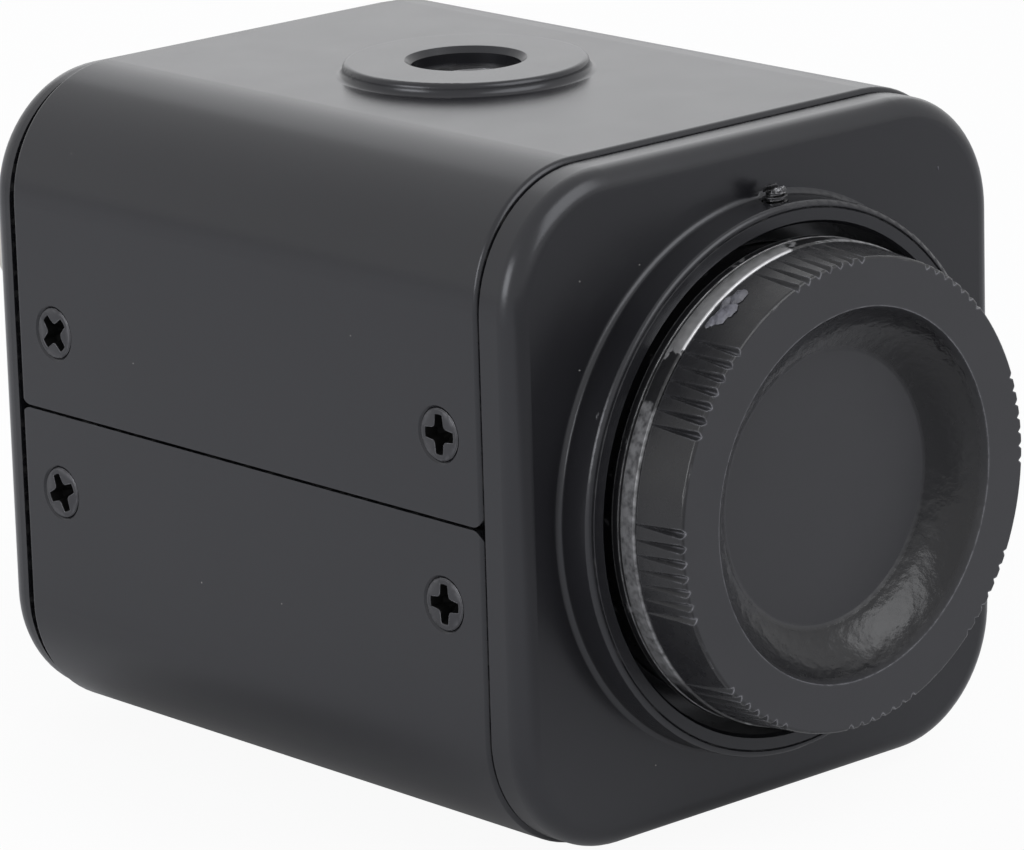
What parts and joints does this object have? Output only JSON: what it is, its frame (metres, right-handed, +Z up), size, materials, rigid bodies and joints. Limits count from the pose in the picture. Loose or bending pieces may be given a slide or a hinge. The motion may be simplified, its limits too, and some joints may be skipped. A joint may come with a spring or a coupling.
{
  "type": "machine vision camera",
  "caption": "Small black cube camera with a capped threaded lens mount, a tripod boss above and below, and sockets and menu buttons at the back.",
  "frame": {"origin": "centre of the lower tripod boss's face, which the camera stands on", "axes": "+Z up along the tripod axis, front and lens mount towards -Y, +Y along the length"},
  "size_m": [0.042, 0.0693, 0.0454],
  "materials": {
    "black_paint": "satin, fine even paint",
    "bush_steel": "turned and tapped, blackened",
    "black_screws": "blackened steel, semi-gloss",
    "lock_screw_steel": "blackened, worn at the slot",
    "ring_metal": "black anodised, worn bare and bright in places",
    "cap_plastic": "moulded, satin, glossier in the dish",
    "circuit_board": "solder-masked glass epoxy",
    "spacer_brass": "turned, bright",
    "inner_screws": "zinc plated",
    "header_plastic": "moulded",
    "contact_gold": "gold plated",
    "chip_plastic": "moulded, matt",
    "sensor_ceramic": "fired ceramic with a dark die",
    "clear_glass": "polished",
    "holder_plastic": "moulded, matt",
    "filter_glass": "coated, polished",
    "seal_rubber": "matt",
    "connector_nickel": "nickel plated",
    "white_insulator": "turned",
    "jack_plastic": "moulded",
    "lamp_resin": "diffused resin",
    "switch_plastic": "moulded",
    "button_plastic": "moulded, satin"
  },
  "bodies": {
    "camera_body": {"front_bezel": "black_paint", "upper_cover": "black_paint", "lower_cover": "black_paint", "rear_panel": "black_paint", "upper_tripod_bush": "bush_steel", "lower_tripod_bush": "bush_steel", "cover_screws": "black_screws", "mount_lock_screw": "lock_screw_steel", "sensor_board": "circuit_board", "main_board": "circuit_board", "rear_board": "circuit_board", "board_spacers": "spacer_brass", "main_board_screws": "inner_screws", "rear_board_screws": "inner_screws", "sensor_link_header": "header_plastic", "sensor_link_socket": "header_plastic", "sensor_link_pins": "contact_gold", "rear_link_header": "header_plastic", "rear_link_socket": "header_plastic", "rear_link_pins": "contact_gold", "processor": "chip_plastic", "memory_chip": "chip_plastic", "image_sensor": "sensor_ceramic", "sensor_glass": "clear_glass", "sensor_holder": "holder_plastic", "infrared_filter": "filter_glass", "filter_seal": "seal_rubber", "bnc_shell": "connector_nickel", "bnc_nut": "connector_nickel", "bnc_washer": "connector_nickel", "bnc_insulator": "white_insulator", "bnc_contact": "contact_gold", "power_jack": "jack_plastic", "power_jack_pin": "connector_nickel", "power_jack_leaf": "connector_nickel", "power_led": "lamp_resin", "led_spacer": "header_plastic", "switch_bodies": "switch_plastic"},
    "mount_ring": {"mount_ring": "ring_metal"},
    "dust_cap": {"dust_cap": "cap_plastic"},
    "menu_button": {"menu_button": "button_plastic"},
    "up_button": {"up_button": "button_plastic"},
    "down_button": {"down_button": "button_plastic"},
    "left_button": {"left_button": "button_plastic"},
    "right_button": {"right_button": "button_plastic"}
  },
  "joints": [
    {"name": "focus_turn", "type": "hinge", "parent": "camera_body", "child": "mount_ring", "pos_m": [0, -0.03104, 0.02258], "axis": [0, -1, 0], "range_deg": [-180, 180]},
    {"name": "cap_off", "type": "slide", "parent": "mount_ring", "child": "dust_cap", "axis": [0, -1, 0], "range_m": [0, 0.03]},
    {"name": "menu_button_press", "type": "slide", "parent": "camera_body", "child": "menu_button", "axis": [0, -1, 0], "range_m": [0, 0.0003], "stiffness_N_per_m": 5000},
    {"name": "up_button_press", "type": "slide", "parent": "camera_body", "child": "up_button", "axis": [0, -1, 0], "range_m": [0, 0.0003], "stiffness_N_per_m": 5000},
    {"name": "down_button_press", "type": "slide", "parent": "camera_body", "child": "down_button", "axis": [0, -1, 0], "range_m": [0, 0.0003], "stiffness_N_per_m": 5000},
    {"name": "left_button_press", "type": "slide", "parent": "camera_body", "child": "left_button", "axis": [0, -1, 0], "range_m": [0, 0.0003], "stiffness_N_per_m": 5000},
    {"name": "right_button_press", "type": "slide", "parent": "camera_body", "child": "right_button", "axis": [0, -1, 0], "range_m": [0, 0.0003], "stiffness_N_per_m": 5000}
  ]
}
